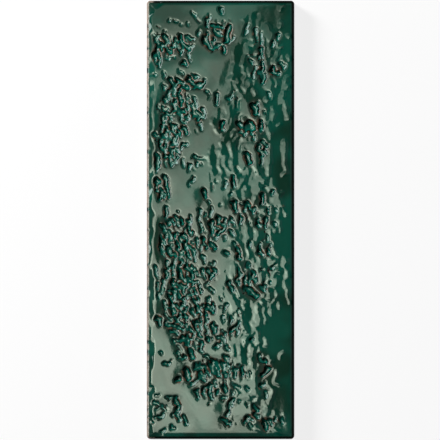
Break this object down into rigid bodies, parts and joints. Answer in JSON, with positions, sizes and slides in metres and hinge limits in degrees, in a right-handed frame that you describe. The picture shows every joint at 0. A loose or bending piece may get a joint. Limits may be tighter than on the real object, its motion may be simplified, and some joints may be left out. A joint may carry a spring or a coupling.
{
  "type": "glazed ceramic wall tile",
  "caption": "Long rectangular glazed ceramic wall tile with a deep green, heavily hollowed relief face and a ribbed bedding back.",
  "frame": {"origin": "centre of the back, on the plane that the back rests on", "axes": "+X across the tile, +Y along its length towards the picture's top, +Z out of the glazed face"},
  "size_m": [0.101, 0.3, 0.0095],
  "materials": {
    "green_glaze": "deep emerald glaze, high gloss, breaking to brown on sharp edges"
  },
  "bodies": {
    "root": {"tile": "green_glaze"}
  },
  "joints": []
}
